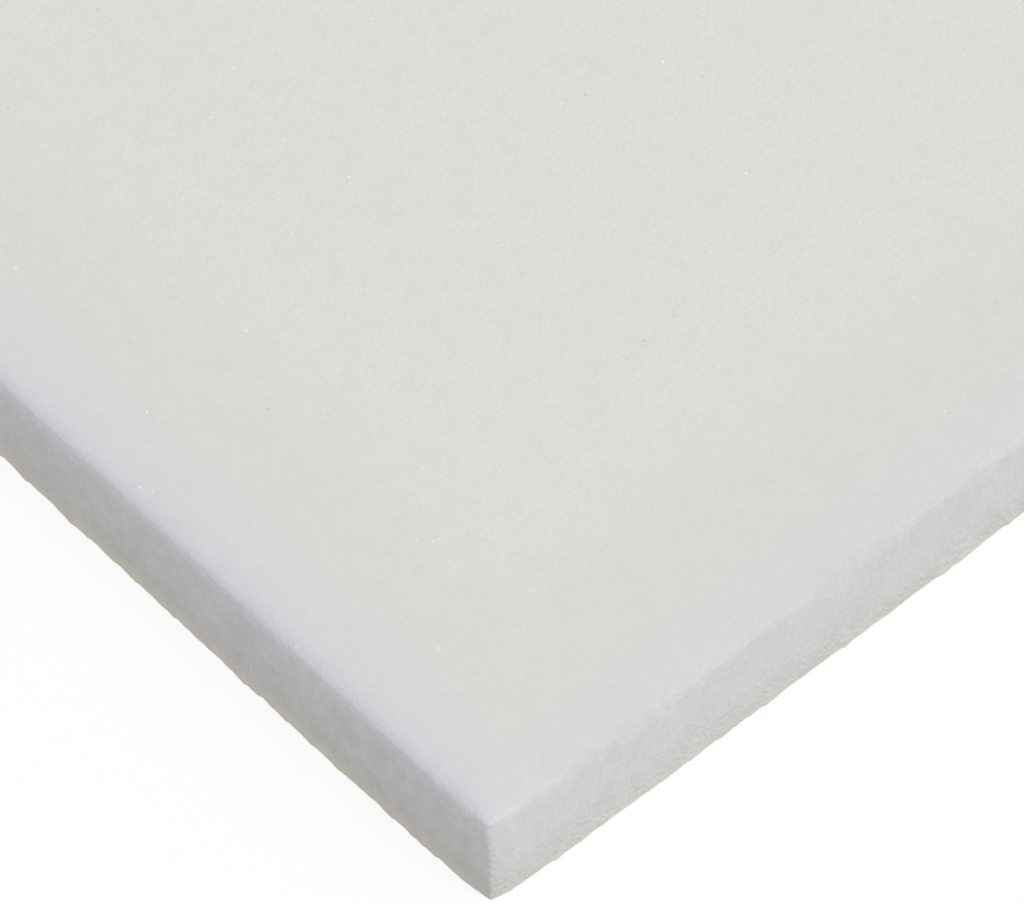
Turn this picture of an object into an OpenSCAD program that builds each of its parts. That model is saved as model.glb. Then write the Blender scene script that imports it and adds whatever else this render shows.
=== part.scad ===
// Self-adhesive foam padding: one sheet of fine-celled foam with a film of
// pressure-sensitive adhesive over its underside, kept clean by a release paper.
// The three layers are laminated first and knife-cut together, so they share one
// outline. The sheet lies on its release paper, centred on the origin, +Z up
// through its thickness.

/* [Sheet] */
// Length of the sheet, along X
sheet_l = 304.8; // [60:0.1:1220]
// Width of the sheet, along Y
sheet_w = 304.8; // [60:0.1:1220]
// Thickness of the foam alone
foam_t = 12.7; // [3:0.1:50]

/* [Cut edge] */
// Radius that the knife leaves on the upright corners
corner_r = 1.2; // [0.9:0.1:25]
// Rounding of the foam's upper edges, where the soft cells give way
edge_r = 0.6; // [0.1:0.05:0.85]

/* [Backing] */
// Thickness of the adhesive film
adhesive_t = 0.13; // [0.05:0.01:0.5]
// Thickness of the release paper
liner_t = 0.10; // [0.05:0.01:0.3]

/* [Hidden] */
$fn = 64;

// Distances between the centres of the corner radii
run_x = sheet_l - 2 * corner_r;
run_y = sheet_w - 2 * corner_r;

// Centres of the corner radii, anticlockwise from the corner at +X +Y
CORNERS = [for (side = [[1, 1], [-1, 1], [-1, -1], [1, -1]])
    [side.x * run_x / 2, side.y * run_y / 2]];

// Undersides of the layers above the release paper
adhesive_z = liner_t;
foam_z = adhesive_z + adhesive_t;

// Outline that all three layers are cut to
module sheet_outline() {
    square([run_x, sheet_w], center = true);
    square([sheet_l, run_y], center = true);
    for (centre = CORNERS)
        translate(centre) circle(corner_r);
}

// Section of the foam's rim: it stands on the line of corner centres and
// reaches out to the cut face, with a quarter-round at the top
module rim_section() {
    square([corner_r, foam_t - edge_r]);
    square([corner_r - edge_r, foam_t]);
    intersection() {
        translate([corner_r - edge_r, foam_t - edge_r]) circle(edge_r);
        square([corner_r, foam_t]);
    }
}

// One straight stretch of rim on the +X side, reach out from the middle
module rim_side(reach, run) {
    translate([reach, run / 2, 0])
        rotate([90, 0, 0])
            linear_extrude(run) rim_section();
}

// The foam: a block between the corner centres, a rim along each side, and the
// same section turned about each corner
module foam_sheet() {
    color("#DEDFDA")
    translate([0, 0, foam_z]) {
        translate([-run_x / 2, -run_y / 2, 0]) cube([run_x, run_y, foam_t]);
        for (turn = [0, 180]) {
            rotate(turn) rim_side(run_x / 2, run_y);
            rotate(turn + 90) rim_side(run_y / 2, run_x);
        }
        for (quarter = [0:3])
            translate([CORNERS[quarter].x, CORNERS[quarter].y, 0])
                rotate(90 * quarter)
                    rotate_extrude(angle = 90) rim_section();
    }
}

// The adhesive: an even film over the whole underside of the foam
module adhesive_film() {
    color("#E6DFC4")
    translate([0, 0, adhesive_z])
        linear_extrude(adhesive_t) sheet_outline();
}

// The release paper: the lowest layer, which the sheet rests on until it is peeled
module release_liner() {
    color("#E0D3B0")
    linear_extrude(liner_t) sheet_outline();
}

foam_sheet();
adhesive_film();
release_liner();
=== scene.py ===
"""Self-adhesive foam padding: a foam sheet, its adhesive film and its release paper.

The three layers are laminated and then knife-cut together, so each section below builds its
layer from the same wandering cut line. Everything is in metres, in the frame of the CAD model:
the sheet lies on its release paper at height 0, with its middle at the origin.
"""
import math

import bpy
import numpy as np
from mathutils import Matrix, Vector


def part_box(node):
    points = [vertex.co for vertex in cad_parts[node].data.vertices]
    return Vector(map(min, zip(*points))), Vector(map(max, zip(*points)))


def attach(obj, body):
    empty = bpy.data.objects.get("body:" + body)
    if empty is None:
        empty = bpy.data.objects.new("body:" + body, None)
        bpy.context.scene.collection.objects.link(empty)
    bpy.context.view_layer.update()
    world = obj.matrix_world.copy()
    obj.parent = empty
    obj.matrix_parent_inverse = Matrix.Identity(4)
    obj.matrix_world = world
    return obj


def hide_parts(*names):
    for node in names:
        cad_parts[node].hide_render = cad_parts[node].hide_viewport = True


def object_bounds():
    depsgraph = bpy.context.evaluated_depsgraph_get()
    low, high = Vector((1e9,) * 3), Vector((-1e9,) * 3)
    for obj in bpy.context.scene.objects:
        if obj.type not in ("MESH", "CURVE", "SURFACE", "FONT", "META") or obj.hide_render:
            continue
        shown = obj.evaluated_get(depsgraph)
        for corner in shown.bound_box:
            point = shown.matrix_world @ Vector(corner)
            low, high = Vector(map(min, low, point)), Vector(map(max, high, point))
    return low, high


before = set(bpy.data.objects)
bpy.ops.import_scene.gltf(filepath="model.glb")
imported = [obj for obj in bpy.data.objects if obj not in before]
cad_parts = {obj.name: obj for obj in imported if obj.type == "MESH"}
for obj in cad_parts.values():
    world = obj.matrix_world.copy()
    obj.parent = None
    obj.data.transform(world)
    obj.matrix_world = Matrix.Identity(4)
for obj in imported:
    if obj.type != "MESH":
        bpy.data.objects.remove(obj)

MM = 0.001
cad_low, cad_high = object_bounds()


# ---------------------------------------------------------------------------------------------
# Camera
# A long lens about 0.9 m away looks down on the near corner (+X, -Y), along the diagonal of
# the sheet. It aims at a point on the top face, a little way in from both cut faces.
# ---------------------------------------------------------------------------------------------
VIEW_AZIMUTH = math.radians(47.305)
VIEW_ELEVATION = math.radians(53.051)
VIEW_ROLL = math.radians(0.793)
VIEW_DISTANCE = 937.8 * MM
AIM_INSET_X = 31.87 * MM
AIM_INSET_Y = 31.59 * MM
SENSOR_WIDTH = 36.0
FOCAL_LENGTH = 339.3
NEAREST = 50.0 * MM
FARTHEST = 20000.0 * MM

aim = Vector((cad_high.x - AIM_INSET_X, cad_low.y + AIM_INSET_Y, cad_high.z))
backwards = Vector((
    math.sin(VIEW_AZIMUTH) * math.cos(VIEW_ELEVATION),
    -math.cos(VIEW_AZIMUTH) * math.cos(VIEW_ELEVATION),
    math.sin(VIEW_ELEVATION),
))
lens = bpy.data.cameras.new("camera")
lens.sensor_width = SENSOR_WIDTH
lens.lens = FOCAL_LENGTH
lens.clip_start = NEAREST
lens.clip_end = FARTHEST
camera = bpy.data.objects.new("camera", lens)
camera.location = aim + backwards * VIEW_DISTANCE
upright = (-backwards).to_track_quat("-Z", "Y")
camera.rotation_mode = "QUATERNION"
camera.rotation_quaternion = upright @ Matrix.Rotation(VIEW_ROLL, 4, "Z").to_quaternion()
bpy.context.scene.collection.objects.link(camera)
bpy.context.scene.camera = camera


# ---------------------------------------------------------------------------------------------
# Foam sheet
# Closed-cell polyethylene foam, split to thickness from a thick bun and cut to size with a
# knife. It is soft and slightly translucent, its upper edges give way under the knife, and
# each lower edge is torn into shallow scallops where the blade broke through.
# ---------------------------------------------------------------------------------------------
foam_low, foam_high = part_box("foam_sheet")
HALF_X = foam_high.x
HALF_Y = foam_high.y
THICKNESS = foam_high.z - foam_low.z
CORNER_RADIUS = 0.35 * MM
CORNER_CRUSH = 0.25 * MM
LEAST_CRUSH = -0.9
EDGE_IN = 0.8 * MM
EDGE_DOWN = 0.45 * MM

# Points round the rim: a multiple of 16 on each side and corner, so that rings further in can
# keep every fourth and every sixteenth point. The corners of those rings are rounder: their
# radius is a share of the inset, and at most a share of what is left of the half width.
SIDE_STEPS = 752
CORNER_STEPS = 16
RIM_POINTS = 4 * (SIDE_STEPS + CORNER_STEPS)
ROUNDER = 0.5
ROUNDEST = 0.6
SHARP_ABOVE = math.radians(35)

# Rings of the cut face and of its upper edge.
SIDE_RINGS = 19
EDGE_RINGS = 6

# Layers of noise on the cut, each as strength in mm, size in mm and seed: the slow wander of the
# blade, the scallops of the lower edge, the give of the upper edge, and chatter on the face. The
# fine chatter is drawn out upwards, to 1 / CHATTER_DRAW times its width. The noise lattice counts
# its corners from -COUNT_FROM, so that every point of the sheet has counts above 0.
WANDER = ((0.13, 62.0, 3), (0.05, 17.0, 5))
WANDER_IN = 0.06
SCALLOPS = ((0.06, 2.3, 11), (0.05, 0.9, 12))
SCALLOP_RISE = 1.1 * MM
GIVE = ((0.05, 4.0, 16), (0.04, 1.4, 17))
GIVE_DROP = 0.9 * MM
FINE_CHATTER = ((0.025, 1.3, 13),)
BROAD_CHATTER = ((0.05, 5.0, 15),)
CHATTER_DRAW = 0.4
COUNT_FROM = 1000.0

# Torn steps of the lower edge: how far apart, how far each shifts as a share of that, how far it
# jumps out on average and at random, in mm, over what length it runs back, and how near the
# corners they stop.
TEAR_PITCH = 2.4 * MM
TEAR_SHIFT = 0.45
TEAR_JUMP = 0.08
TEAR_JUMP_RANDOM = 0.11
TEAR_RUN = 1.2 * MM
TEAR_STOP = 4.0 * MM
TEAR_SEED = 14

# How far the cuts stray, in mm, and over what distances: they lean out at the foot, run in
# towards their ends, and the Y cuts once more at the foot there. The squeeze of an upright
# corner is a quadratic in its height, from -1 at the foot to 1 at the top, highest power first.
LEAN_X = 0.10
LEAN_Y = -0.03
LEAN_RISE = 4.0 * MM
RUN_IN_X = 0.14
RUN_IN_Y = 0.32
RUN_IN_REACH = 11.0 * MM
FOOT_RUN_IN = 0.39
FOOT_REACH = 4.0 * MM
FOOT_RISE = 1.5 * MM
SQUEEZE = (0.55, 0.10, 0.05)
SQUEEZE_REACH = 2.5 * MM

# Layers of noise on the top: crumbled edges, less so on the Y sides, and a slow swell. Each is
# lowered by the amount given, in mm. The cut line fades out of the flat faces over CUT_REACH.
CRUMBLE = ((0.11, 3.1, 22), (0.08, 1.2, 23))
CRUMBLE_DOWN = 0.02
CRUMBLE_REACH = 1.2 * MM
CRUMBLE_SHARE_Y = 0.25
SWELL = ((0.04, 38.0, 21),)
SWELL_DOWN = 0.04
CUT_REACH = 4.0 * MM


def lattice_noise(x, y, z, size, seed):
    """Smooth noise from -1 to 1. Each corner of a cubic lattice of the given size has a random
    value, and a point takes those of the eight corners round it, each weighted along every
    axis by 3t^2 - 2t^3. The random value is the corner's three counts and the seed, each times
    a large odd number, with their bits mixed."""
    place = np.stack(np.broadcast_arrays(x, y, z), -1) / size + COUNT_FROM
    corner = np.floor(place).astype(np.int64)
    t = place - corner
    t = t * t * (3.0 - 2.0 * t)
    total = np.zeros(place.shape[:-1])
    for step in np.ndindex(2, 2, 2):
        c = corner + np.array(step)
        key = c[..., 0] * 73856093 ^ c[..., 1] * 19349663 ^ c[..., 2] * 83492791 ^ seed * 7919
        key = (key ^ (key >> 13)) * 1274126177 & 0xFFFFFFFF
        key = (key ^ (key >> 16)) * 668265263 & 0xFFFFFFFF
        weight = np.prod(np.where(np.array(step) == 1, t, 1.0 - t), axis=-1)
        total += weight * (key / 0x7FFFFFFF - 1.0)
    return total


def layered_noise(x, y, z, layers):
    """The sum of layers of lattice noise, in mm, each given as strength, size and seed."""
    return sum(strength * lattice_noise(x, y, z, size * MM, seed) for strength, size, seed in layers)


def rim_ring(inset, radius):
    """Points and outward normals on a rounded rectangle, anticlockwise from the +X end of the
    corner at +X +Y. Each quarter is an arc about its corner centre, then a straight run to the
    next centre. inset and radius are columns, one row for each ring."""
    step = np.arange(RIM_POINTS)
    quarter = step // (SIDE_STEPS + CORNER_STEPS)
    along = step % (SIDE_STEPS + CORNER_STEPS)
    turned = np.minimum(along / CORNER_STEPS, 1.0)
    run = np.maximum(along - CORNER_STEPS, 0) / SIDE_STEPS
    angle = (quarter + turned) * math.pi / 2
    sign_x = np.array([1, -1, -1, 1])
    sign_y = np.array([1, 1, -1, -1])
    here, after = quarter, (quarter + 1) % 4
    centre_x = HALF_X - inset - radius
    centre_y = HALF_Y - inset - radius
    x = centre_x * (sign_x[here] * (1 - run) + sign_x[after] * run) + radius * np.cos(angle)
    y = centre_y * (sign_y[here] * (1 - run) + sign_y[after] * run) + radius * np.sin(angle)
    return x, y, np.cos(angle) + 0 * x, np.sin(angle) + 0 * x


def torn_steps(along):
    """Small outward steps of a torn edge, in mm. The edge is divided into equal lengths, whose
    ends are shifted at random. At each one the edge jumps out by a random amount, and runs back
    by exp(-distance / TEAR_RUN)."""
    total = np.zeros(np.shape(along))
    first = np.floor(along / TEAR_PITCH)
    for back in (0, 1):
        cell = first - back
        shift = TEAR_SHIFT * lattice_noise(cell, 0.0, 0.0, 1.0, TEAR_SEED)
        jump = TEAR_JUMP + TEAR_JUMP_RANDOM * lattice_noise(cell, 7.0, 0.0, 1.0, TEAR_SEED)
        past = along - (cell + 0.5 + shift) * TEAR_PITCH
        total += np.where(past > 0, jump * np.exp(-np.maximum(past, 0.0) / TEAR_RUN), 0.0)
    return total


def cut_line(x, y, above):
    """How far the knife's cut stands out from the true outline, at a height above the underside
    of the foam: a slow wander of the blade, scallops and torn steps that fade upwards from the
    lower edge, a little give of the upper edge, and chatter of the blade all over."""
    side = np.abs(x) * HALF_Y > np.abs(y) * HALF_X
    from_end = np.where(side, HALF_Y - np.abs(y), HALF_X - np.abs(x))
    torn = torn_steps(np.where(side, y, -x)) * np.clip(from_end / TEAR_STOP, 0.0, 1.0)
    wander = layered_noise(x, y, 0.0, WANDER) - WANDER_IN
    foot = (layered_noise(x, y, 0.0, SCALLOPS) + torn) * np.exp(-above / SCALLOP_RISE)
    give = layered_noise(x, y, 0.0, GIVE) * np.exp((above - THICKNESS) / GIVE_DROP)
    chatter = layered_noise(x, y, above * CHATTER_DRAW, FINE_CHATTER)
    chatter += layered_noise(x, y, above, BROAD_CHATTER)
    return MM * (wander + foot + give + chatter)


def cut_pull(x, y, above):
    """How far the cuts stray along X and along Y. Each cut runs in towards its two ends, the Y
    cuts more so at the foot. The X cuts lean out a little at the foot, and each upright corner
    is squeezed in along X, most of all at its top and its foot. Both shifts grow in proportion
    to the distance from the middle of the sheet, so the cuts still meet at its corners."""
    middle = np.clip(2.0 * above / THICKNESS - 1.0, -1.0, 1.0)
    to_x = HALF_X - np.abs(x)
    to_y = HALF_Y - np.abs(y)
    lean = np.exp(-above / LEAN_RISE)
    along_x = LEAN_X * lean - RUN_IN_X * np.exp(-to_y / RUN_IN_REACH)
    along_x -= np.polyval(SQUEEZE, middle) * np.exp(-np.hypot(to_x, to_y) / SQUEEZE_REACH)
    along_y = LEAN_Y * lean - RUN_IN_Y * np.exp(-to_x / RUN_IN_REACH)
    along_y -= FOOT_RUN_IN * np.exp(-to_x / FOOT_REACH - above / FOOT_RISE)
    return MM * along_x * x / HALF_X, MM * along_y * y / HALF_Y


def to_cut(x, y, nx, ny, inset, above, own):
    """Moves rings of the true outline to the cut line, and by a layer's own raggedness, by
    amounts that fade as exp(-inset / CUT_REACH)."""
    fade = np.exp(-inset / CUT_REACH)
    out = cut_line(x, y, above) + own
    pull_x, pull_y = cut_pull(x, y, above)
    return x + (nx * out + pull_x) * fade, y + (ny * out + pull_y) * fade


def sheet_rows(profile, shape):
    """Vertices of a sheet, ring by ring. profile lists (inset, height, keep) for each ring,
    from the middle of the underside, out, up the cut face and in to the middle of the top,
    where keep is 1, 4 or 16 to keep every point, every fourth or every sixteenth. shape turns
    ring arrays of x, y, outward normal, inset and height into x, y, z.

    An upright corner's radius grows from foot to top as the cube of the height from the middle
    of the foam, and the films below have the radius of the foot."""
    inset = np.array([row[0] for row in profile])[:, None]
    height = np.array([row[1] for row in profile])[:, None]
    middle = np.clip(2.0 * (height - foam_low.z) / THICKNESS - 1.0, LEAST_CRUSH, 1.0)
    radius = np.maximum(CORNER_RADIUS + CORNER_CRUSH * middle ** 3 - inset, ROUNDER * inset)
    radius = np.minimum(radius, ROUNDEST * (min(HALF_X, HALF_Y) - inset))
    x, y, nx, ny = rim_ring(inset, radius)
    x, y, z = shape(x, y, nx, ny, inset, height + 0 * x)
    rings = np.stack([x, y, z], -1)
    return [ring[::row[2]] for ring, row in zip(rings, profile)]


def sheet_faces(rings):
    """Faces that join each ring to the next, and one face to close each end. Rings with equally
    many points are joined by quadrilaterals. Where one has four times as many, five of its
    points face two of the other's, and are joined to them by five triangles."""
    counts = [len(ring) for ring in rings]
    starts = np.concatenate([[0], np.cumsum(counts)])
    faces = []
    for i in range(len(rings) - 1):
        a, b = counts[i], counts[i + 1]
        few = min(a, b)
        j = np.arange(few)[:, None]
        low = starts[i] + (j * (a // few) + np.arange(a // few + 1)) % a
        high = starts[i + 1] + (j * (b // few) + np.arange(b // few + 1)) % b
        if a == b:
            faces += np.concatenate([low, high[:, ::-1]], 1).tolist()
            continue
        both = np.concatenate([low, high] if a > b else [high, low], 1)
        turn = 1 if a > b else -1
        for three in ([0, 1, 5], [1, 2, 5], [2, 6, 5], [2, 3, 6], [3, 4, 6]):
            faces += both[:, three[::turn]].tolist()
    first = np.arange(counts[0])[::-1].tolist()
    last = (starts[-2] + np.arange(counts[-1])).tolist()
    return faces + [first, last]


def sheet_object(name, profile, shape):
    """A closed mesh object made of those rings, smooth except across its sharp edges."""
    rings = sheet_rows(profile, shape)
    mesh = bpy.data.meshes.new(name)
    mesh.from_pydata(np.concatenate(rings).tolist(), [], sheet_faces(rings))
    mesh.shade_smooth()
    mesh.set_sharp_from_angle(angle=SHARP_ABOVE)
    made = bpy.data.objects.new(name, mesh)
    bpy.context.scene.collection.objects.link(made)
    return made


def inward(first, last, ratio):
    """Insets from first towards last, each ratio times the one before."""
    count = int(math.log(last / first) / math.log(ratio)) + 1
    return [first * ratio ** i for i in range(count)]


# Rings of the broad faces, from the rim in, as (inset, keep). The top has more near its rim.
FAR_RINGS = [(d, 16) for d in inward(9 * MM, HALF_X - 2 * MM, 1.22)]
FLAT_RINGS = [(0.6 * MM, 1), (2.5 * MM, 4), (6 * MM, 4)] + FAR_RINGS
TOP_RINGS = [(d, 1) for d in inward(1.4 * MM, 3 * MM, 1.45)]
TOP_RINGS += [(d, 4) for d in inward(4 * MM, 8 * MM, 1.3)] + FAR_RINGS


def foam_profile():
    """Rings of the foam sheet: the flat underside, the cut face with rings closer together
    towards its two edges, a quarter-ellipse over the upper edge, and the top."""
    low, high = foam_low.z, foam_high.z
    under = [(d, low, keep) for d, keep in FLAT_RINGS[::-1]]
    rise = 0.5 - 0.5 * np.cos(np.linspace(0, math.pi, SIDE_RINGS))
    side = [(0.0, low + (THICKNESS - EDGE_DOWN) * t, 1) for t in rise]
    bend = np.linspace(0, math.pi / 2, EDGE_RINGS + 1)[1:]
    edge = [(EDGE_IN * (1 - math.cos(a)), high - EDGE_DOWN * (1 - math.sin(a)), 1) for a in bend]
    top = [(d, high, keep) for d, keep in TOP_RINGS]
    return under + side + edge + top


def foam_shape(x, y, nx, ny, inset, height):
    """Moves the rings of the true outline to the cut line. The upper edges have crumbled by up
    to 0.2 mm, most of all along the X sides. The top face rises and falls by a few hundredths
    of a millimetre."""
    below = foam_high.z - height
    crumble = layered_noise(x, y, 0.0, CRUMBLE) - CRUMBLE_DOWN
    crumble *= CRUMBLE_SHARE_Y + (1.0 - CRUMBLE_SHARE_Y) * nx * nx
    crumble *= np.exp(-(inset + below) / CRUMBLE_REACH)
    swell = layered_noise(x, y, 0.0, SWELL) - SWELL_DOWN
    swell *= np.clip(1.0 - below / EDGE_DOWN, 0.0, 1.0)
    x, y = to_cut(x, y, nx, ny, inset, height - foam_low.z, 0.0)
    return x, y, height + MM * (swell + crumble)


foam = sheet_object("foam_sheet_cut", foam_profile(), foam_shape)


def linear(hex_colour):
    """An sRGB hex colour as the linear RGBA that shaders use. Each part p becomes
    ((p + 0.055) / 1.055) to the power 2.4, or p / 12.92 where it is at most 0.04045."""
    parts = [int(hex_colour[i:i + 2], 16) / 255 for i in (1, 3, 5)]
    return [p / 12.92 if p <= 0.04045 else ((p + 0.055) / 1.055) ** 2.4 for p in parts] + [1.0]


def node(tree, kind, settings=None, inputs=None, links=None):
    """Adds a node with its settings, its input values and its links from other sockets."""
    made = tree.nodes.new(kind)
    for key, value in (settings or {}).items():
        setattr(made, key, value)
    for key, value in (inputs or {}).items():
        made.inputs[key].default_value = value
    for key, socket in (links or {}).items():
        tree.links.new(socket, made.inputs[key])
    return made


# The white of the split face and of the cut faces. Names that end in X or Y are for the faces
# that stand across that axis and for the top beside them.
FOAM_WHITE = "#DCDDD8"
CUT_WHITE = "#DCDBD7"
SIDES_MEET = 3.0 * MM
CUT_STARTS = 0.2 * MM
CUT_FULL = 1.5 * MM

# Near the upper edges the white is painted cooler: painted light that stands in for the
# bluish light leaking out of the foam there. It reaches out to a distance in from the edge,
# where each millimetre down counts as much as COOL_SINK millimetres in.
PAINTED_EDGE_COOL = "#DBDCDD"
COOL_REACH_X = 9.0 * MM
COOL_REACH_Y = 11.0 * MM
COOL_SINK_X = 0.35
COOL_SINK_Y = 1.1

# The edges themselves are painted grey: painted shade that stands in for the light that
# leaks out of them. The grey fades with the distance down and in, and along an upright edge it
# has the strength it has GREY_UPRIGHT down.
PAINTED_EDGE_SHADE_X = "#A8ABAF"
PAINTED_EDGE_SHADE_Y = "#B6B9C1"
GREY_FADE_X = 0.7 * MM
GREY_FADE_Y = 1.1 * MM
GREY_SINK = 1.3
GREY_UPRIGHT = 1.1 * MM
GREY_BLEND = 1.0 * MM
GREY_POWER = -1.25

# A warm glow is painted on the foot of each cut face, up to these heights: partly the
# adhesive seen through the foam, and partly painted light, as it is lighter on the shaded Y sides.
PAINTED_FOOT_LIGHT_X = "#D9D8D2"
PAINTED_FOOT_LIGHT_Y = "#E2DFD4"
GLOW_TOP = 2.6 * MM
GLOW_FULL = 0.4 * MM

# Cells are 0.3 to 0.7 mm across. Clots of them, a few millimetres wide, stand out on a cut
# face, where the blade drew them out upwards, to 1 / CLOT_DRAW times their width. Both vary the
# colour by a share of it, most on the cut faces, and the grain bends the cells by up to CELL_BEND.
CELL = 0.55 * MM
CELL_BEND = 0.9 * CELL
GRAIN_SCALE = 0.6 / CELL
GRAIN_TOP = 0.05
GRAIN_X = 0.08
GRAIN_Y = 0.16
CLOT = 2.8 * MM
CLOT_DRAW = 0.7
CLOT_TOP = 0.075
CLOT_X = 0.24
CLOT_Y = 0.3

# A few cells carry a painted glint, a highlight painted white into their colour, and fewer are
# deep, painted darker as shade inside the hole: those whose random number lies above the value
# given, which is lower along the torn X edges. The power makes most of them faint. Each is so
# from SPOT_RIM inwards, and wholly so inside SPOT_FULL, in cell sizes from its middle.
PAINTED_GLINT = "#FFFFFF"
PAINTED_GLINT_ABOVE = 0.95
PAINTED_GLINT_ABOVE_TORN = 0.8
PAINTED_GLINT_POWER = 9.0
PAINTED_GLINT_MOST = 0.65
# Painted shade inside the deep cells.
HOLE = "#C2C2BC"
DEEP_ABOVE = 0.978
DEEP_ABOVE_TORN = 0.9
DEEP_POWER = 10.0
SPOT_RIM = 0.36
SPOT_FULL = 0.12

# Cups of the cut cells: their depth, and the share of it on the split face and the cut faces.
CUP_DEPTH = 0.22 * MM
CUP_TOP = 0.22
CUP_SIDE = 0.55
HOLE_LIFT = -0.15

# How far light scatters, and the share of it that does so. It is fullest near the upper edges,
# falls to MIDDLE_SHARE in the middle of the sheet and to UPRIGHT_SHARE at the upright edges,
# and there is none at the foot.
SCATTER = 7.0 * MM
MIDDLE_SHARE = 0.25
MIDDLE_STARTS = 10.0 * MM
MIDDLE_FULL = 28.0 * MM
UPRIGHT_SHARE = 0.4
UPRIGHT_STARTS = 0.2 * MM
UPRIGHT_ENDS = 3.5 * MM
FOOT_DARK = 1.0 * MM
FOOT_ENDS = 5.0 * MM


def foam_material():
    """Closed-cell polyethylene foam: white, matt and faintly translucent, so its edges look
    soft. The knife opens the cells into shallow cups about half a millimetre wide, and here
    and there one carries a painted glint, white painted into its colour, or is deep and
    painted darker as shade in the hole, mostly along the X edges, where the cut is rougher.

    The edge grey is painted shade, (1 + d / fade) to a negative power, where d is the
    distance in from the sides and down from the top. Noise bends the cell pattern, so no
    two cells are alike."""
    material = bpy.data.materials.new("closed_cell_polyethylene_foam")
    material.use_nodes = True
    tree = material.node_tree
    tree.nodes.clear()
    place = node(tree, "ShaderNodeTexCoord").outputs["Object"]

    # How far a point lies in from the X sides, in from the Y sides and down from the top.
    reach = node(tree, "ShaderNodeVectorMath", {"operation": "ABSOLUTE"}, links={0: place})
    within = node(
        tree, "ShaderNodeVectorMath", {"operation": "SUBTRACT"},
        {0: (HALF_X, HALF_Y, foam_high.z)}, {1: reach.outputs[0]},
    )
    within = node(
        tree, "ShaderNodeVectorMath", {"operation": "MAXIMUM"},
        {1: (0.0, 0.0, 0.0)}, {0: within.outputs[0]},
    )
    apart = node(tree, "ShaderNodeSeparateXYZ", links={0: within.outputs[0]})
    depth = apart.outputs["Z"]
    inset = node(
        tree, "ShaderNodeMath", {"operation": "MINIMUM"},
        links={0: apart.outputs["X"], 1: apart.outputs["Y"]},
    ).outputs[0]
    along = node(
        tree, "ShaderNodeMath", {"operation": "MAXIMUM"},
        links={0: apart.outputs["X"], 1: apart.outputs["Y"]},
    ).outputs[0]
    lead = node(
        tree, "ShaderNodeMath", {"operation": "SUBTRACT"},
        links={0: apart.outputs["Y"], 1: apart.outputs["X"]},
    ).outputs[0]
    x_side = node(
        tree, "ShaderNodeMapRange", {"interpolation_type": "SMOOTHSTEP"},
        {"From Min": -SIDES_MEET, "From Max": SIDES_MEET}, {"Value": lead},
    ).outputs[0]
    on_side = node(
        tree, "ShaderNodeMapRange", {"interpolation_type": "SMOOTHSTEP"},
        {"From Min": CUT_STARTS, "From Max": CUT_FULL}, {"Value": depth},
    ).outputs[0]

    # White, painted cooler towards the upper edge and painted grey at the edge itself: painted
    # light and painted shade that stand in for light leaking out of the foam near its edges. Both
    # reach less far on the X sides.
    sink = node(
        tree, "ShaderNodeMapRange", inputs={"To Min": COOL_SINK_Y, "To Max": COOL_SINK_X},
        links={"Value": x_side},
    )
    far = node(
        tree, "ShaderNodeMath", {"operation": "MULTIPLY_ADD"},
        links={0: depth, 1: sink.outputs[0], 2: inset},
    )
    reached = node(
        tree, "ShaderNodeMapRange", inputs={"To Min": COOL_REACH_Y, "To Max": COOL_REACH_X},
        links={"Value": x_side},
    )
    cool = node(
        tree, "ShaderNodeMapRange", {"interpolation_type": "SMOOTHSTEP"},
        {"From Max": 0.0}, {"Value": far.outputs[0], "From Min": reached.outputs[0]},
    )
    down = node(tree, "ShaderNodeMath", {"operation": "MULTIPLY"}, {1: GREY_SINK}, {0: depth})
    past = node(tree, "ShaderNodeMath", {"operation": "ADD"}, {1: GREY_UPRIGHT}, {0: along})
    near = node(
        tree, "ShaderNodeMath", {"operation": "SMOOTH_MIN"},
        {2: GREY_BLEND}, {0: down.outputs[0], 1: past.outputs[0]},
    )
    near = node(tree, "ShaderNodeMath", {"operation": "ADD"}, links={0: near.outputs[0], 1: inset})
    fade = node(
        tree, "ShaderNodeMapRange",
        inputs={"To Min": 1.0 / GREY_FADE_Y, "To Max": 1.0 / GREY_FADE_X}, links={"Value": x_side},
    )
    near = node(
        tree, "ShaderNodeMath", {"operation": "MULTIPLY_ADD"},
        {2: 1.0}, {0: near.outputs[0], 1: fade.outputs[0]},
    )
    edge = node(
        tree, "ShaderNodeMath", {"operation": "POWER"}, {1: GREY_POWER}, {0: near.outputs[0]},
    ).outputs[0]
    grey = node(
        tree, "ShaderNodeMix", {"data_type": "RGBA"},
        {6: linear(PAINTED_EDGE_SHADE_Y), 7: linear(PAINTED_EDGE_SHADE_X)}, {0: x_side},
    )

    # Painted light at the foot of each cut face: the adhesive below shows through, and the
    # glow is painted lighter on the shaded Y sides.
    glow = node(
        tree, "ShaderNodeMapRange", {"interpolation_type": "SMOOTHSTEP"},
        {"From Min": THICKNESS - GLOW_TOP, "From Max": THICKNESS - GLOW_FULL}, {"Value": depth},
    )
    painted_foot_light = node(
        tree, "ShaderNodeMix", {"data_type": "RGBA"},
        {6: linear(PAINTED_FOOT_LIGHT_Y), 7: linear(PAINTED_FOOT_LIGHT_X)}, {0: x_side},
    )
    colour = node(
        tree, "ShaderNodeMix", {"data_type": "RGBA"},
        {6: linear(FOAM_WHITE), 7: linear(CUT_WHITE)}, {0: on_side},
    )
    # Painted light: the cool colour near the upper edges.
    colour = node(
        tree, "ShaderNodeMix", {"data_type": "RGBA"},
        {7: linear(PAINTED_EDGE_COOL)}, {0: cool.outputs[0], 6: colour.outputs[2]},
    )
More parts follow.
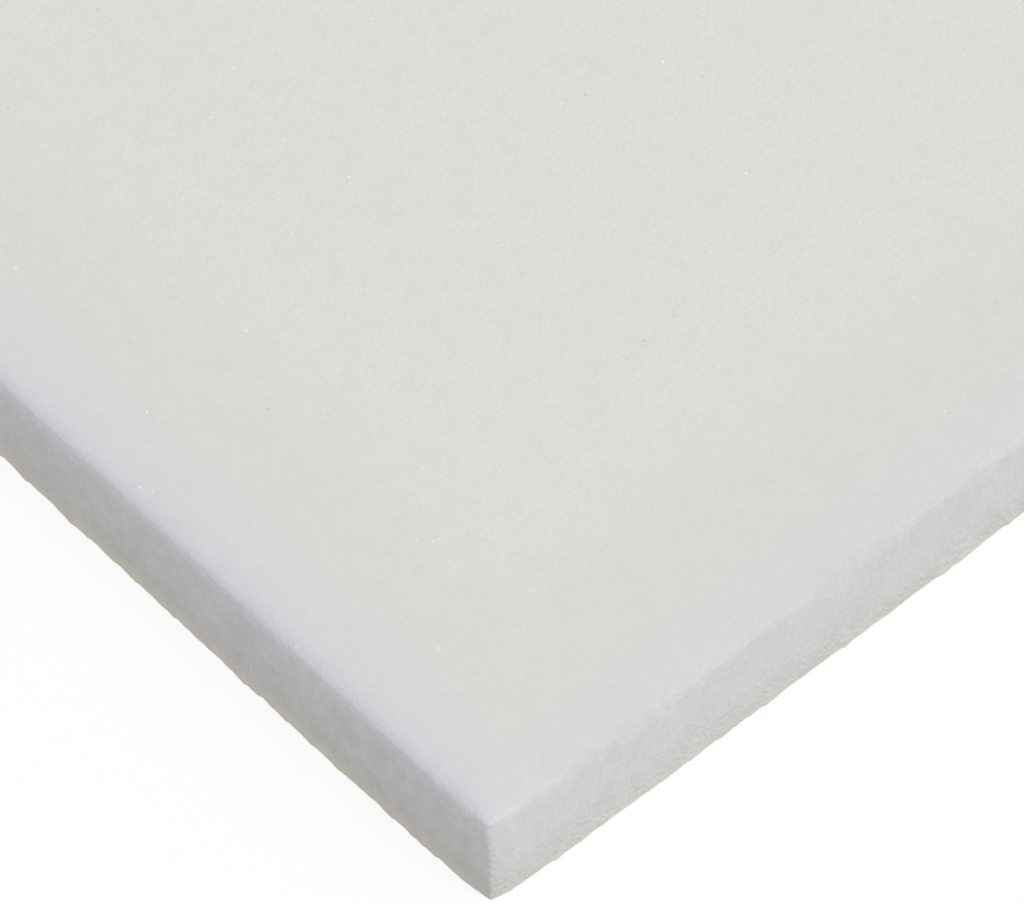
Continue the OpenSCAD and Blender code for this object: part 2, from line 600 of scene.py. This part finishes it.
    # Painted shade: the edge grey mixed in at the upper and upright edges.
    colour = node(
        tree, "ShaderNodeMix", {"data_type": "RGBA"},
        links={0: edge, 6: colour.outputs[2], 7: grey.outputs[2]},
    )
    colour = node(
        tree, "ShaderNodeMix", {"data_type": "RGBA"},
        links={0: glow.outputs[0], 6: colour.outputs[2], 7: painted_foot_light.outputs[2]},
    )

    # Grain and clots all over, both stronger on the cut faces, where the blade drew them out
    # upwards, and strongest on the Y sides.
    grain = node(
        tree, "ShaderNodeTexNoise",
        inputs={"Scale": GRAIN_SCALE, "Detail": 2.0, "Roughness": 0.6}, links={"Vector": place},
    )
    drawn = node(
        tree, "ShaderNodeMapping", inputs={"Scale": (1.0, 1.0, CLOT_DRAW)}, links={"Vector": place},
    )
    clots = node(
        tree, "ShaderNodeTexNoise",
        inputs={"Scale": 1.0 / CLOT, "Detail": 4.0, "Roughness": 0.75},
        links={"Vector": drawn.outputs[0]},
    )
    grain_most = node(
        tree, "ShaderNodeMapRange", inputs={"To Min": GRAIN_Y, "To Max": GRAIN_X},
        links={"Value": x_side},
    )
    grain_depth = node(
        tree, "ShaderNodeMapRange",
        inputs={"To Min": GRAIN_TOP}, links={"Value": on_side, "To Max": grain_most.outputs[0]},
    )
    clot_most = node(
        tree, "ShaderNodeMapRange", inputs={"To Min": CLOT_Y, "To Max": CLOT_X},
        links={"Value": x_side},
    )
    clot_depth = node(
        tree, "ShaderNodeMapRange",
        inputs={"To Min": CLOT_TOP}, links={"Value": on_side, "To Max": clot_most.outputs[0]},
    )
    grain_shade = node(
        tree, "ShaderNodeMath", {"operation": "SUBTRACT"}, {1: 0.5}, {0: grain.outputs[0]},
    )
    clot_shade = node(
        tree, "ShaderNodeMath", {"operation": "SUBTRACT"}, {1: 0.5}, {0: clots.outputs[0]},
    )
    shade = node(
        tree, "ShaderNodeMath", {"operation": "MULTIPLY_ADD"},
        {2: 1.0}, {0: grain_shade.outputs[0], 1: grain_depth.outputs[0]},
    )
    shade = node(
        tree, "ShaderNodeMath", {"operation": "MULTIPLY_ADD"},
        links={0: clot_shade.outputs[0], 1: clot_depth.outputs[0], 2: shade.outputs[0]},
    )
    colour = node(
        tree, "ShaderNodeMix", {"data_type": "RGBA", "blend_type": "MULTIPLY"},
        {0: 1.0}, {6: colour.outputs[2], 7: shade.outputs[0]},
    )

    # Cells, of which a few carry a painted glint, a highlight painted white into the colour, or are
    # deep, with painted shade and a dent, with more of both at the torn edges.
    bend = node(
        tree, "ShaderNodeVectorMath", {"operation": "MULTIPLY_ADD"},
        {1: (CELL_BEND, CELL_BEND, CELL_BEND)}, {0: grain.outputs["Color"], 2: place},
    )
    cells = node(
        tree, "ShaderNodeTexVoronoi", inputs={"Scale": 1.0 / CELL}, links={"Vector": bend.outputs[0]},
    )
    lot = node(tree, "ShaderNodeSeparateColor", links={0: cells.outputs["Color"]})
    middle = node(
        tree, "ShaderNodeMapRange", {"interpolation_type": "SMOOTHSTEP"},
        {"From Min": SPOT_RIM, "From Max": SPOT_FULL}, {"Value": cells.outputs["Distance"]},
    )
    torn = node(tree, "ShaderNodeMath", {"operation": "MULTIPLY"}, links={0: edge, 1: x_side})
    few = node(
        tree, "ShaderNodeMapRange",
        inputs={"To Min": PAINTED_GLINT_ABOVE, "To Max": PAINTED_GLINT_ABOVE_TORN},
        links={"Value": torn.outputs[0]},
    )
    painted_glint_share = node(
        tree, "ShaderNodeMapRange", inputs={"From Max": 1.0},
        links={"Value": lot.outputs[0], "From Min": few.outputs[0]},
    )
    painted_glint_share = node(
        tree, "ShaderNodeMath", {"operation": "POWER"}, {1: PAINTED_GLINT_POWER}, {0: painted_glint_share.outputs[0]},
    )
    painted_glint_share = node(
        tree, "ShaderNodeMath", {"operation": "MULTIPLY"}, {1: PAINTED_GLINT_MOST}, {0: painted_glint_share.outputs[0]},
    )
    rare = node(
        tree, "ShaderNodeMapRange",
        inputs={"To Min": DEEP_ABOVE, "To Max": DEEP_ABOVE_TORN}, links={"Value": torn.outputs[0]},
    )
    deep = node(
        tree, "ShaderNodeMapRange", inputs={"From Max": 1.0},
        links={"Value": lot.outputs[1], "From Min": rare.outputs[0]},
    )
    deep = node(
        tree, "ShaderNodeMath", {"operation": "POWER"}, {1: DEEP_POWER}, {0: deep.outputs[0]},
    )
    glint = node(
        tree, "ShaderNodeMath", {"operation": "MULTIPLY"},
        links={0: middle.outputs[0], 1: painted_glint_share.outputs[0]},
    )
    hole = node(
        tree, "ShaderNodeMath", {"operation": "MULTIPLY"},
        links={0: middle.outputs[0], 1: deep.outputs[0]},
    )
    # Painted highlight: the glint is white painted into the colour, not a reflection.
    colour = node(
        tree, "ShaderNodeMix", {"data_type": "RGBA"},
        {7: linear(PAINTED_GLINT)}, {0: glint.outputs[0], 6: colour.outputs[2]},
    )
    # Painted shade: deep cells are painted darker, as shade inside the hole.
    colour = node(
        tree, "ShaderNodeMix", {"data_type": "RGBA"},
        {7: linear(HOLE)}, {0: hole.outputs[0], 6: colour.outputs[2]},
    )

    # Cups are shallow on the split face and deeper on the cut faces and along the edges.
    relief = node(
        tree, "ShaderNodeMapRange", inputs={"To Min": CUP_TOP, "To Max": CUP_SIDE},
        links={"Value": on_side},
    )
    relief = node(
        tree, "ShaderNodeMath", {"operation": "MAXIMUM"}, links={0: relief.outputs[0], 1: edge},
    )
    cup = node(
        tree, "ShaderNodeMath", {"operation": "MULTIPLY_ADD"},
        {1: HOLE_LIFT}, {0: hole.outputs[0], 2: cells.outputs["Distance"]},
    )
    bump = node(
        tree, "ShaderNodeBump", inputs={"Distance": CUP_DEPTH},
        links={"Strength": relief.outputs[0], "Height": cup.outputs[0]},
    )

    # Light scatters through the foam near its upper edges. It is kept out of the lowest
    # millimetre, partly out of the upright edges, so that they stay crisp, and mostly out of
    # the middle of the sheet, where it makes no difference.
    middle_share = node(
        tree, "ShaderNodeMapRange", {"interpolation_type": "SMOOTHSTEP"},
        {"From Min": MIDDLE_FULL, "From Max": MIDDLE_STARTS, "To Min": MIDDLE_SHARE},
        {"Value": inset},
    )
    corner_share = node(
        tree, "ShaderNodeMapRange", {"interpolation_type": "SMOOTHSTEP"},
        {"From Min": UPRIGHT_STARTS, "From Max": UPRIGHT_ENDS, "To Min": UPRIGHT_SHARE},
        {"Value": along, "To Max": middle_share.outputs[0]},
    )
    scattered = node(
        tree, "ShaderNodeMapRange", {"interpolation_type": "SMOOTHSTEP"},
        {"From Min": THICKNESS - FOOT_DARK, "From Max": THICKNESS - FOOT_ENDS},
        {"Value": depth, "To Max": corner_share.outputs[0]},
    )
    foam_body = node(
        tree, "ShaderNodeBsdfPrincipled", {"subsurface_method": "RANDOM_WALK"},
        {
            "Roughness": 0.8,
            "IOR": 1.5,
            "Subsurface Radius": (1.0, 1.0, 1.0),
            "Subsurface Scale": SCATTER,
        },
        {
            "Base Color": colour.outputs[2],
            "Subsurface Weight": scattered.outputs[0],
            "Normal": bump.outputs[0],
        },
    )
    node(tree, "ShaderNodeOutputMaterial", links={"Surface": foam_body.outputs["BSDF"]})
    return material


foam.data.materials.append(foam_material())
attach(foam, "root")
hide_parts("foam_sheet")


# ---------------------------------------------------------------------------------------------
# Adhesive film
# Acrylic pressure-sensitive adhesive, coated over the whole underside of the foam and cut with
# it. Only its edge shows, as a thin straw-coloured line between the foam and the paper.
# ---------------------------------------------------------------------------------------------
film_low, film_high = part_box("adhesive_film")
RAG_SIZE = 0.8 * MM
FILM_RAG = 0.02 * MM
FILM_SEED = 31


def film_profile(low, high):
    """Rings of a thin film: its underside from the middle out, its cut edge, and its top."""
    under = [(d, low, keep) for d, keep in FLAT_RINGS[::-1]]
    top = [(d, high, keep) for d, keep in FLAT_RINGS]
    return under + [(0.0, low, 1), (0.0, high, 1)] + top


def film_shape(rag, seed):
    """A rule that moves a film's rings to the foam's cut line at its lower edge, and adds the
    film's own fine raggedness."""
    def shape(x, y, nx, ny, inset, height):
        own = rag * lattice_noise(x, y, 0.0, RAG_SIZE, seed)
        x, y = to_cut(x, y, nx, ny, inset, 0.0, own)
        return x, y, height
    return shape


film = sheet_object(
    "adhesive_film_cut", film_profile(film_low.z, film_high.z), film_shape(FILM_RAG, FILM_SEED),
)


ADHESIVE_THIN = "#E1DDD3"
ADHESIVE_THICK = "#D6D0C2"
STREAK_LENGTH = 30.0 * MM
STREAK_WIDTH = 1.5 * MM
STREAK_RELIEF = 0.01 * MM
ROUGH_THIN = 0.38
ROUGH_THICK = 0.2


def adhesive_material():
    """Acrylic pressure-sensitive adhesive: straw-coloured, clear in itself and slightly glossy.
    It was coated along Y, which leaves long streaks about 1.5 mm wide, deeper in colour and
    smoother where the coat is thicker."""
    material = bpy.data.materials.new("acrylic_pressure_sensitive_adhesive")
    material.use_nodes = True
    tree = material.node_tree
    tree.nodes.clear()
    place = node(tree, "ShaderNodeTexCoord").outputs["Object"]
    along = node(
        tree, "ShaderNodeMapping",
        inputs={"Scale": (1 / STREAK_WIDTH, 1 / STREAK_LENGTH, 1 / STREAK_WIDTH)},
        links={"Vector": place},
    )
    coat = node(
        tree, "ShaderNodeTexNoise",
        inputs={"Scale": 1.0, "Detail": 3.0}, links={"Vector": along.outputs[0]},
    ).outputs[0]
    colour = node(
        tree, "ShaderNodeMix", {"data_type": "RGBA"},
        {6: linear(ADHESIVE_THIN), 7: linear(ADHESIVE_THICK)}, {0: coat},
    )
    gloss = node(
        tree, "ShaderNodeMapRange",
        inputs={"To Min": ROUGH_THIN, "To Max": ROUGH_THICK}, links={"Value": coat},
    )
    bump = node(tree, "ShaderNodeBump", inputs={"Distance": STREAK_RELIEF}, links={"Height": coat})
    body = node(
        tree, "ShaderNodeBsdfPrincipled", inputs={"IOR": 1.47},
        links={
            "Base Color": colour.outputs[2],
            "Roughness": gloss.outputs[0],
            "Normal": bump.outputs[0],
        },
    )
    node(tree, "ShaderNodeOutputMaterial", links={"Surface": body.outputs["BSDF"]})
    return material


film.data.materials.append(adhesive_material())
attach(film, "root")
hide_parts("adhesive_film")


# ---------------------------------------------------------------------------------------------
# Release paper
# Semi-bleached kraft, pressed smooth and coated with silicone so that it peels cleanly. It
# covers the adhesive to the cut edge, and is the face that the sheet lies on.
# ---------------------------------------------------------------------------------------------
paper_low, paper_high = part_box("release_liner")
PAPER_RAG = 0.03 * MM
PAPER_SEED = 32
paper = sheet_object(
    "release_liner_cut", film_profile(paper_low.z, paper_high.z), film_shape(PAPER_RAG, PAPER_SEED),
)


KRAFT_LIGHT = "#E0DBD1"
KRAFT_DARK = "#D4CDBF"
FIBRE_TINT = "#C9BEA4"
CLOUD = 5.0 * MM
FIBRE_LENGTH = 2.5 * MM
FIBRE_WIDTH = 0.2 * MM
FIBRE_RELIEF = 0.02 * MM

# Fibres show where their noise is above FIBRE_RIM, fully from FIBRE_FULL, by at most FIBRE_MOST.
FIBRE_RIM = 0.55
FIBRE_FULL = 0.75
FIBRE_MOST = 0.6
ROUGH_LIGHT = 0.42
ROUGH_DARK = 0.58


def paper_material():
    """Semi-bleached kraft paper, pressed smooth and coated with silicone: a warm pale beige
    with soft clouds about 5 mm across where the pulp lies thicker, short darker fibres that
    run mostly along Y, and a low sheen from the coat. Real fibres are about 0.03 mm wide, and
    are drawn wider here so that they show."""
    material = bpy.data.materials.new("silicone_coated_kraft_paper")
    material.use_nodes = True
    tree = material.node_tree
    tree.nodes.clear()
    place = node(tree, "ShaderNodeTexCoord").outputs["Object"]
    clouds = node(
        tree, "ShaderNodeTexNoise",
        inputs={"Scale": 1 / CLOUD, "Detail": 4.0, "Roughness": 0.6}, links={"Vector": place},
    )
    colour = node(
        tree, "ShaderNodeMix", {"data_type": "RGBA"},
        {6: linear(KRAFT_LIGHT), 7: linear(KRAFT_DARK)}, {0: clouds.outputs[0]},
    )
    laid = node(
        tree, "ShaderNodeMapping",
        inputs={"Scale": (1 / FIBRE_WIDTH, 1 / FIBRE_LENGTH, 1 / FIBRE_WIDTH)},
        links={"Vector": place},
    )
    fibres = node(
        tree, "ShaderNodeTexNoise",
        inputs={"Scale": 1.0, "Detail": 2.0, "Distortion": 0.8}, links={"Vector": laid.outputs[0]},
    )
    dark = node(
        tree, "ShaderNodeMapRange", {"interpolation_type": "SMOOTHSTEP"},
        {"From Min": FIBRE_RIM, "From Max": FIBRE_FULL, "To Max": FIBRE_MOST},
        {"Value": fibres.outputs[0]},
    )
    colour = node(
        tree, "ShaderNodeMix", {"data_type": "RGBA"},
        {7: linear(FIBRE_TINT)}, {0: dark.outputs[0], 6: colour.outputs[2]},
    )
    sheen = node(
        tree, "ShaderNodeMapRange",
        inputs={"To Min": ROUGH_LIGHT, "To Max": ROUGH_DARK}, links={"Value": clouds.outputs[0]},
    )
    bump = node(
        tree, "ShaderNodeBump",
        inputs={"Strength": 0.5, "Distance": FIBRE_RELIEF}, links={"Height": fibres.outputs[0]},
    )
    body = node(
        tree, "ShaderNodeBsdfPrincipled",
        inputs={"IOR": 1.45, "Coat Weight": 0.2, "Coat Roughness": 0.3, "Coat IOR": 1.41},
        links={
            "Base Color": colour.outputs[2],
            "Roughness": sheen.outputs[0],
            "Normal": bump.outputs[0],
        },
    )
    node(tree, "ShaderNodeOutputMaterial", links={"Surface": body.outputs["BSDF"]})
    return material


paper.data.materials.append(paper_material())
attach(paper, "root")
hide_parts("release_liner")


# ---------------------------------------------------------------------------------------------
# Floor and light
# A white paper sweep under a large soft lamp, high up and towards +X, in an even white room.
# The camera, mirror-like surfaces and clear ones see the sweep and the room as plain white.
# ---------------------------------------------------------------------------------------------
FLOOR_REACH = 3.0
FLOOR_DROP = 0.02 * MM
FLOOR_GLOW = 0.85
ROOM_LIGHT = 0.52
LAMP_WIDTH = 5.4
LAMP_POWER = 566.0
LAMP_DISTANCE = 9.6
LAMP_DIRECTION = Vector((0.565, 0.06, 0.815)).normalized()


def seen_directly(tree):
    """A socket that is 1 for a ray from the camera, a reflection or a clear surface."""
    path = node(tree, "ShaderNodeLightPath")
    seen = node(
        tree, "ShaderNodeMath", {"operation": "MAXIMUM"},
        links={0: path.outputs["Is Camera Ray"], 1: path.outputs["Is Glossy Ray"]},
    )
    seen = node(
        tree, "ShaderNodeMath", {"operation": "MAXIMUM"},
        links={0: seen.outputs[0], 1: path.outputs["Is Transmission Ray"]},
    )
    return seen.outputs[0]


def floor_object():
    """A wide flat sheet just under the part. Seen from above it is white paper that keeps a
    soft share of the part's shadow, and from below it is clear."""
    mesh = bpy.data.meshes.new("floor")
    corners = [(-1, -1), (1, -1), (1, 1), (-1, 1)]
    places = [(x * FLOOR_REACH, y * FLOOR_REACH, -FLOOR_DROP) for x, y in corners]
    mesh.from_pydata(places, [], [(0, 1, 2, 3)])
    made = bpy.data.objects.new("floor", mesh)
    bpy.context.scene.collection.objects.link(made)
    material = bpy.data.materials.new("white_paper_sweep")
    material.use_nodes = True
    tree = material.node_tree
    tree.nodes.clear()
    matt = node(tree, "ShaderNodeBsdfDiffuse", inputs={"Color": (1, 1, 1, 1)})
    glow = node(tree, "ShaderNodeEmission", inputs={"Color": (1, 1, 1, 1), "Strength": 1.0})
    share = node(
        tree, "ShaderNodeMath", {"operation": "MULTIPLY"}, {1: FLOOR_GLOW}, {0: seen_directly(tree)},
    )
    both = node(
        tree, "ShaderNodeMixShader",
        links={0: share.outputs[0], 1: matt.outputs[0], 2: glow.outputs[0]},
    )
    face = node(tree, "ShaderNodeNewGeometry")
    clear = node(tree, "ShaderNodeBsdfTransparent")
    ends = node(
        tree, "ShaderNodeMixShader",
        links={0: face.outputs["Backfacing"], 1: both.outputs[0], 2: clear.outputs[0]},
    )
    node(tree, "ShaderNodeOutputMaterial", links={"Surface": ends.outputs[0]})
    mesh.materials.append(material)
    return made


floor = floor_object()
floor.visible_diffuse = False
floor.visible_glossy = False
floor.visible_transmission = False
floor.visible_shadow = False

world = bpy.data.worlds.new("soft_room")
bpy.context.scene.world = world
world.use_nodes = True
tree = world.node_tree
tree.nodes.clear()
room = node(tree, "ShaderNodeBackground", inputs={"Color": (1, 1, 1, 1), "Strength": ROOM_LIGHT})
white = node(tree, "ShaderNodeBackground", inputs={"Color": (1, 1, 1, 1), "Strength": 1.0})
sky = node(
    tree, "ShaderNodeMixShader",
    links={0: seen_directly(tree), 1: room.outputs[0], 2: white.outputs[0]},
)
node(tree, "ShaderNodeOutputWorld", links={"Surface": sky.outputs[0]})

key = bpy.data.lights.new("key_softbox", "AREA")
key.shape = "SQUARE"
key.size = LAMP_WIDTH
key.energy = LAMP_POWER
lamp = bpy.data.objects.new("key_softbox", key)
lamp.visible_camera = False
lamp.location = LAMP_DIRECTION * LAMP_DISTANCE
lamp.rotation_mode = "QUATERNION"
lamp.rotation_quaternion = (-LAMP_DIRECTION).to_track_quat("-Z", "Y")
bpy.context.scene.collection.objects.link(lamp)

bpy.context.scene.view_settings.view_transform = "Standard"
